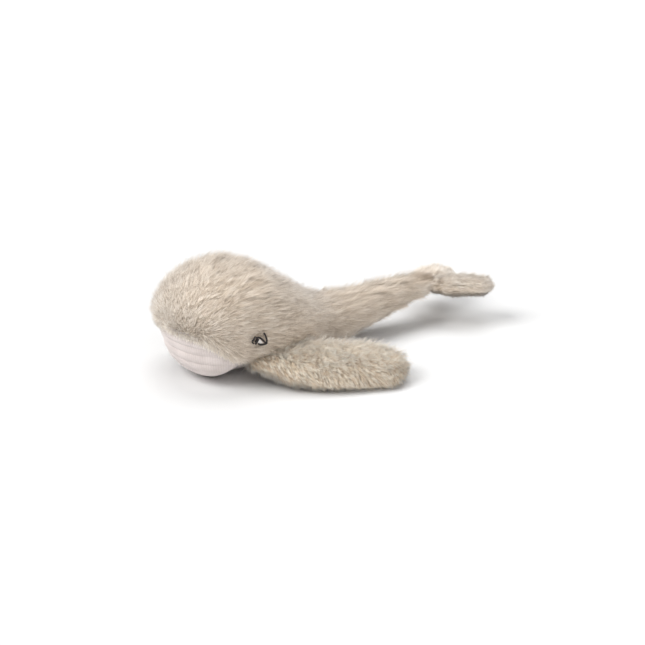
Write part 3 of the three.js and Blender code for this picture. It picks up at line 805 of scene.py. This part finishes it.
# The throat: a ribbed panel that swells out to the pile's surface, with long pleats round the chin
throat = {
    "under": 6 * mm,  # how far it runs in under the pile
    "bulge": 5.5 * mm, "rise": (-4 * mm, 8 * mm),
    "fullBelow": (20 * mm, 50 * mm), "fullBefore": (-180 * mm, -145 * mm),
    "proud": 0.4 * mm, "recess": 1.8 * mm, "recessed": (2 * mm, 14 * mm),
    "pleatPitch": 10 * mm, "pleatStart": 3 * mm, "pleatDepth": 1.6 * mm, "pleatRoundness": 0.6,
    "ribPitch": 3.1 * mm, "ribRadius": 75 * mm, "cloth": 2.5 * mm, "cuts": 2, "smoothing": 4,
}


def throatMargin(place):
    others = [tree.find_nearest(place)[3] for panel, tree in nearPanels.items() if panel != "throat"]
    return min(others) - nearPanels["throat"].find_nearest(place)[3]


def throatPiece():
    made = partOfBody(lambda f: f.calc_center_median().x < bodySkin["headEnd"]
                      and throatMargin(f.calc_center_median()) > -throat["under"])
    bmesh.ops.subdivide_edges(made, edges=made.edges, cuts=throat["cuts"], use_grid_fill=True)
    smooth(made, throat["smoothing"])
    made.normal_update()
    for v in made.verts:
        margin = throatMargin(v.co)
        fold = abs(math.sin(math.pi * (v.co.z - throat["pleatStart"]) / throat["pleatPitch"]))
        pleat = fold ** throat["pleatRoundness"] - 1
        inside = ramp(margin, *throat["rise"])
        high = ramp(v.co.z, *throat["fullBelow"])
        full = throat["bulge"] * (1 - high) * (1 - ramp(v.co.x, *throat["fullBefore"]))
        full += throat["pleatDepth"] * pleat
        lean = throat["recess"] * high * ramp(margin, *throat["recessed"])
        v.co += v.normal * (full * inside - lean + throat["proud"])
        v.co.z = max(v.co.z, whale["floorGap"])
    thing = toObject(made, "throatPanel", finishes["throat"])
    ribs = [math.atan2(v.co.y, whale["head"].x - v.co.x) * throat["ribRadius"] / throat["ribPitch"]
            for v in thing.data.vertices]
    thing.data.attributes.new("throatRib", "FLOAT", "POINT").data.foreach_set("value", ribs)
    applied(thing, "SOLIDIFY", thickness=throat["cloth"], offset=-1)
    return thing


panel = throatPiece()
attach(panel, "body")
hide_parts("throat_panel")
print("throat:", len(panel.data.polygons), "faces")

# Body pile. It is combed from the nose to the tail, up the forehead and down along the jaw, and is short
# round the nose and the eyes. Locks are livelier in tone at the nose and calmer on the tail. The top of the
# tail's end has painted shade, and its sides and the nose where it faces aside or down have painted light
bodyPile = {
    "density": 1.8 / mm**2, "length": 14 * mm, "rise": 33, "fall": 9, "width": 0.54 * mm,
    "lock": 2.2 * mm, "gather": 0.6 * mm, "tuft": 5 * mm, "ragged": 0.06, "patch": 34 * mm, "swirl": 40 * mm,
    "wisps": (1.1, 3.0), "loose": 0.1, "flyaway": 18,
    # the crease tone is painted shade on the pile near where the limbs meet the body
    "tone": 0.52, "contrast": 0.18, "paintedCreaseShade": 0.45, "creaseTrim": 0.4,
}
combing = {
    # the line of the jaw, as shares of the nose's reach from the head's middle and of that middle's height
    "jaw": [(-1.2, 0.98), (-0.85, 0.92), (-0.68, 0.83), (-0.5, 0.66), (-0.25, 0.42), (0, 0.28), (0.4, 0.14)],
    "noseReach": 88 * mm, "nose": -233 * mm,
    "forehead": 0.6, "flank": -0.1, "alongJaw": -0.5,  # rise of the nap for a step back
    "foreheadRun": (5 * mm, 68 * mm), "jawRun": (8 * mm, 30 * mm),  # back from the nose
    "jawHeight": (4 * mm, 28 * mm), "jawEnds": (-110 * mm, -80 * mm),
    "noseTrim": 0.62, "trimRun": (0, 85 * mm), "eyeTrim": 0.35, "eyeReach": (10 * mm, 20 * mm),
    "eye": np.array((-157, -87, 66)) * mm,
    # the nose light is painted light on the nose where it faces sideways or down
    "frontRun": (10 * mm, 55 * mm), "noseStand": 0.25, "noseLively": 1.05, "nosePaintedLight": 0.15,
    "tail": (-50 * mm, 30 * mm), "tailCalm": 0.65, "tailEnd": (115 * mm, 155 * mm), "above": (0.3, 0.8),
    # painted shade on top of the tail's end and painted light at its sides
    "endPaintedShade": 0.46, "endPaintedLight": 0.36,  # on top of the tail's end, and at its sides
    "jawReach": 6 * mm, "frontReach": 0.5, "pullRun": (8 * mm, 45 * mm),
}


def behindNose(x, start, end):
    return ramp(x, combing["nose"] + start, combing["nose"] + end)


def bodyNap(roots, up):
    x, z = roots[:, 0], roots[:, 2]
    places, heights = (np.array(column) for column in zip(*combing["jaw"]))
    jaw = np.interp((x - whale["head"].x) / combing["noseReach"], places, heights) * whale["head"].z
    back = behindNose(x, *combing["foreheadRun"])
    climb = combing["forehead"] * (1 - back) + combing["flank"] * back
    low = (1 - ramp(z - jaw, *combing["jawHeight"])) * behindNose(x, *combing["jawRun"])
    low = low * (1 - ramp(x, *combing["jawEnds"]))
    guide = np.stack([np.ones_like(x), np.zeros_like(x), climb * (1 - low) + combing["alongJaw"] * low], 1)
    eyeGap = np.linalg.norm(np.stack([x, -np.abs(roots[:, 1]), z], 1) - combing["eye"], axis=1)
    nearEye = 1 - ramp(eyeGap, *combing["eyeReach"])
    trim = combing["noseTrim"] + (1 - combing["noseTrim"]) * behindNose(x, *combing["trimRun"])
    trim = trim * (1 - (1 - combing["eyeTrim"]) * nearEye)
    front = 1 - behindNose(x, *combing["frontRun"])
    tail, end = ramp(x, *combing["tail"]), ramp(x, *combing["tailEnd"])
    above = ramp(up[:, 2], *combing["above"])
    lively = 1 + combing["noseLively"] * front - combing["tailCalm"] * tail
    # painted shade on top of the tail's end, painted light at its sides
    paintedShade = end * (combing["endPaintedShade"] * above - combing["endPaintedLight"] * (1 - above))
    # painted light on the nose where it does not face up
    paintedShade = paintedShade - combing["nosePaintedLight"] * front * (1 - above)
    return guide * (1 - combing["noseStand"] * front)[:, None], trim, lively, paintedShade


# Near the jaw seam the pile is drawn down over the throat panel's edge
def jawPull(place, normal):
    if place.x > bodySkin["headEnd"]:
        return Vector()
    way = nearPanels["throat"].find_nearest(place)[0] - place
    way -= normal * way.dot(normal)
    more = 1 + combing["frontReach"] * (1 - behindNose(place.x, *combing["pullRun"]))
    return way.normalized() * max(0, 1 - way.length / (combing["jawReach"] * more)) * more


napAlongX = np.diag([0.15, 1, 1])
sideParts = {"parted": -95 * mm, "buried": 4 * mm}  # front and rear meet here; deeper in a limb no pile grows
bodySurface = surfaceOf(body, jawPull, [(tree, crease[kind]) for (kind, _), tree in limbTrees.items()])
wantedPile = {}
for number, middle in enumerate(middlesOf(bodySurface)):
    part = bodyPart(middle, nearPanels)
    if part.endswith("Side"):
        part += "Front" if middle.x < sideParts["parted"] else "Rear"
    covered = max(depthIn(tree, middle) for tree in limbTrees.values()) > sideParts["buried"]
    wantedPile.setdefault(part, np.zeros(len(bodySurface[2])))[number] = 0 if covered else 1
del wantedPile["throat"]
for number, (part, wanted) in enumerate(sorted(wantedPile.items())):
    pile = {**bodyPile, "seed": 100 + 10 * number}
    hair = growPile(part + "Pile", bodySurface, wanted, pile, bodyNap, napAlongX, finishes["pile"])
    hold(hair, part)
    print(hair.name, len(hair.data.polygons), "faces")

# Limb pile, combed from the root to the tip and out to the edges, with painted shade near the body and, on
# the lobes, at the pinched root
limbPile = {
    "flipper": {
        **bodyPile, "length": 13 * mm, "rise": 28,
        "lock": 2.4 * mm, "gather": 1.1 * mm, "tuft": 4 * mm, "ragged": 0.2,
        "wisps": (0.3, 2.2), "flyaway": 22,
        "tone": 0.66, "contrast": 0.46, "paintedCreaseShade": 0.06, "creaseTrim": 0,
        "lead": 1.9, "splay": 1.2, "edgeTrim": 0.22, "tipTrim": 0.25,
        "coarse": 0.3, "pinch": 0, "pinchPaintedShade": 0, "rootDepth": 3 * mm, "finish": "warmPile", "seed": 300,
    },
    "lobe": {
        **bodyPile, "length": 9.5 * mm, "rise": 34,
        "gather": 1.0 * mm, "tuft": 4 * mm, "ragged": 0.15, "loose": 0.09,
        "tone": 0.67, "contrast": 0.2, "paintedCreaseShade": 0.2, "creaseTrim": 0.3,
        "lead": 0, "splay": 1.1, "edgeTrim": 0.15, "tipTrim": 0.3,
        "coarse": 0, "pinch": 1, "pinchPaintedShade": 0.45, "rootDepth": -1 * mm, "finish": "pile", "seed": 400,
    },
}
# Where on a limb its pile changes, as shares of its half width or length, and where a seam pinches it
limbZones = {
    "tip": (0.8, 1), "edge": (0.5, 1), "coarse": (-0.35, 0.1), "coarseLively": 1.6,
    "pinch": (-0.5, 0.1), "pinchAt": 5 * mm, "pinchWidth": 4 * mm, "pinchTrim": 0.5,
}
limbNames = {"flipper": "{}_flipper", "lobe": "{}_fluke_lobe"}
for (kind, side), made in limbs.items():
    place = np.array(placeOf(kind, side))
    back = np.linalg.inv(place)
    pile, limb = limbPile[kind], limbKinds[kind]
    name = limbNames[kind].format(side)
    combed = np.array(Matrix.Rotation(-math.atan(pile["lead"]), 3, "Z"))

    def limbNap(roots, up):
        local = roots @ back[:3, :3].T + back[:3, 3]
        across, tip = local[:, 1] / limb["halfWidth"], ramp(local[:, 0] / limb["length"], *limbZones["tip"])
        aside = pile["splay"] * across - pile["lead"]
        guide = np.stack([np.ones_like(across), aside, np.zeros_like(across)], 1)
        # the front half is coarse and stands up more; a seam pinches the root, shortening the pile there,
        # and on the lobes painted shade darkens the pinch
        coarse = pile["coarse"] * ramp(-across, *limbZones["coarse"])
        pinch = np.exp(-((local[:, 0] - limbZones["pinchAt"]) / limbZones["pinchWidth"]) ** 2)
        pinch = pinch * ramp(-across, *limbZones["pinch"]) * pile["pinch"]
        trim = (1 - pile["tipTrim"] * tip - pile["edgeTrim"] * ramp(abs(across), *limbZones["edge"])
                - limbZones["pinchTrim"] * pinch)
        lively = 1 - limbZones["coarseLively"] * (pile["coarse"] - coarse)
        return unit(guide @ place[:3, :3].T) * (1 - coarse)[:, None], trim, lively, pile["pinchPaintedShade"] * pinch

    surface = surfaceOf(made, lambda place, normal: Vector(), [(bodyTree, crease[kind])])
    free = np.array([depthIn(bodyTree, middle) < pile["rootDepth"] for middle in middlesOf(surface)])
    faceUp = surface[1][surface[2]].mean(1) @ place[:3, 2] > 0
    for face, wanted in (("Upper", free & faceUp), ("Lower", free & ~faceUp)):
        seed = pile["seed"] + 10 * (side == "right") + (face == "Lower")
        hair = growPile(f"{side}{kind.title()}{face}Pile", surface, wanted.astype(float),
                        {**pile, "seed": seed}, limbNap, place[:3, :3] @ combed @ napAlongX,
                        finishes[pile["finish"]])
        hold(hair, kind)
        print(hair.name, len(hair.data.polygons), "faces")
    skin = toObject(made, f"{side}{kind.title()}Skin", finishes["backing"])
    hold(skin, kind)
    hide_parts(name + "_upper_fur", name + "_lower_fur")

# Eyes: twisted thread laid on the fur in strokes, and rows of white thread. Points are shares of half the
# eye's length, back and up from its middle
eye = {
    "middle": (-154, 66), "half": 10, "standOff": 1.7, "outside": 200,  # in mm
    "thread": 1.15, "pupil": 1.8, "row": 0.36, "rowGap": 0.5, "twist": 2.2, "step": 0.3,
    "plyOffset": 0.45, "plyRadius": 0.62, "topRow": 0.02, "rowPoints": 4,
    "strokes": [
        [(-0.65, 0.53), (-0.72, 0.32), (-0.86, 0.18), (-0.96, 0.04), (-0.92, -0.12), (-0.77, -0.24)],
        [(-0.65, 0.5), (-0.42, 0.38), (-0.17, 0.39), (0.13, 0.22), (0.44, -0.1), (0.7, -0.38), (0.93, -0.52)],
        [(-0.14, -0.4), (0.07, -0.55), (0.33, -0.6), (0.6, -0.61), (0.85, -0.6), (1.01, -0.48)],
        [(0.9, -0.52), (0.94, -0.24), (0.89, 0.07), (0.76, 0.43), (0.58, 0.75)],
        [(-0.34, -0.14), (-0.42, -0.27), (-0.54, -0.4)],
    ],
    "pupilStroke": [(-0.26, 0.16), (-0.38, -0.01), (-0.53, -0.11)],
    "white": [(-0.2, 0.22), (-0.2, -0.3), (0.0, -0.42), (0.48, -0.44), (0.14, 0.02)],
}


def onFur(side, back, up):
    x, z = eye["middle"][0] + back * eye["half"], eye["middle"][1] + up * eye["half"]
    start = Vector((x * mm, -eye["outside"] * sides[side] * mm, z * mm))
    hit, normal, _, _ = furTrees[side].ray_cast(start, Vector((0, sides[side], 0)))
    return hit + normal * eye["standOff"] * mm


# A smooth run of points through the given ones, at even steps
def smoothRun(points, step):
    ends = [2 * points[0] - points[1], *points, 2 * points[-1] - points[-2]]
    run = []
    for a, b, c, d in zip(ends, ends[1:], ends[2:], ends[3:]):
        count = max(2, round((c - b).length / step))
        for t in np.arange(count) / count:
            run.append(0.5 * (2 * b + (c - a) * t + (2 * a - 5 * b + 4 * c - d) * t**2
                              + (3 * b - a - 3 * c + d) * t**3))
    return [*run, points[-1]]


# Plies wound round a run of points
def twistedThread(curve, points, radius, plies=2):
    run = smoothRun(points, eye["step"] * mm)
    for ply in range(plies):
        spline = curve.splines.new("POLY")
        spline.points.add(len(run) - 1)
        for number, (point, place) in enumerate(zip(spline.points, run)):
            ahead = (run[min(number + 1, len(run) - 1)] - run[max(number - 1, 0)]).normalized()
            aside = ahead.cross(Vector((0, 1, 0))).normalized()
            turn = 2 * math.pi * (number * eye["step"] / eye["twist"] + ply / plies)
            out = aside * math.cos(turn) + ahead.cross(aside) * math.sin(turn)
            point.co = (*(place + out * radius * eye["plyOffset"]), 1)
            point.radius = radius * eye["plyRadius"] / mm


def stitched(name, fill, material, node):
    curve = bpy.data.curves.new(name, "CURVE")
    curve.dimensions, curve.bevel_depth, curve.bevel_resolution, curve.use_fill_caps = "3D", mm, 1, True
    fill(curve)
    draft = link(bpy.data.objects.new(name + "Draft", curve))
    mesh = bpy.data.meshes.new_from_object(draft.evaluated_get(bpy.context.evaluated_depsgraph_get()))
    bpy.data.objects.remove(draft)
    made = bmesh.new()
    made.from_mesh(mesh)
    bpy.data.meshes.remove(mesh)
    bmesh.ops.recalc_face_normals(made, faces=made.faces)
    thing = toObject(made, name, material)
    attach(thing, "body")
    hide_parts(node)
    print(name, len(thing.data.polygons), "faces")


furTrees = {side: treeOf(f"{side}_side_fur") for side in sides}
for side in sides:
    def drawBlack(curve):
        for stroke in eye["strokes"]:
            twistedThread(curve, [onFur(side, *point) for point in stroke], eye["thread"] * mm)
        twistedThread(curve, [onFur(side, *point) for point in eye["pupilStroke"]], eye["pupil"] * mm, 3)

    def drawWhite(curve):
        corners = eye["white"]
        top, bottom = (pick(up for _, up in corners) for pick in (max, min))
        for up in np.arange(top - eye["topRow"], bottom, -eye["rowGap"] / eye["half"]):
            crossings = sorted(a[0] + (b[0] - a[0]) * (up - a[1]) / (b[1] - a[1])
                               for a, b in zip(corners, corners[1:] + corners[:1])
                               if (a[1] - up) * (b[1] - up) < 0)
            if len(crossings) == 2:
                row = [onFur(side, back, up) for back in np.linspace(*crossings, eye["rowPoints"])]
                twistedThread(curve, row, eye["row"] * mm)

    stitched(side + "EyeThread", drawBlack, finishes["black"], side + "_eye_thread")
    stitched(side + "EyeWhite", drawWhite, finishes["white"], side + "_eye_white")

# Filling: loose fibre inside each bag
filling = {
    "voxel": 4 * mm, "smoothing": 3, "inset": 2.2 * mm,
    "tuft": 14 * mm, "tuftDepth": 0.5 * mm, "tufts": (-1.5, 0),  # tufts only sink in
}


def stuff(node, seed):
    made = remeshed(fromNodes(node), filling["voxel"])
    smooth(made, filling["smoothing"])
    made.normal_update()
    tufts, _ = ripple(np.array([v.co for v in made.verts]), filling["tuft"], seed)
    for v, tuft in zip(made.verts, tufts.clip(*filling["tufts"])):
        v.co = settled(v.co + v.normal * (filling["tuftDepth"] * tuft - filling["inset"]), v.normal)
    thing = toObject(made, node.title().replace("_", ""), finishes["fibre"])
    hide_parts(node)
    return thing


for seed, bodyName in enumerate(("body", "tail_front", "tail_rear")):
    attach(stuff(bodyName + "_stuffing", 500 + seed), bodyName)
for seed, (kind, side) in enumerate(limbs):
    hold(stuff(f"{limbNames[kind].format(side)}_stuffing", 510 + seed), kind)

bpy.context.view_layer.update()
shown = [thing for thing in bpy.data.objects if thing.type == "MESH" and not thing.hide_render]
print("faces in all:", sum(len(thing.data.polygons) for thing in shown))
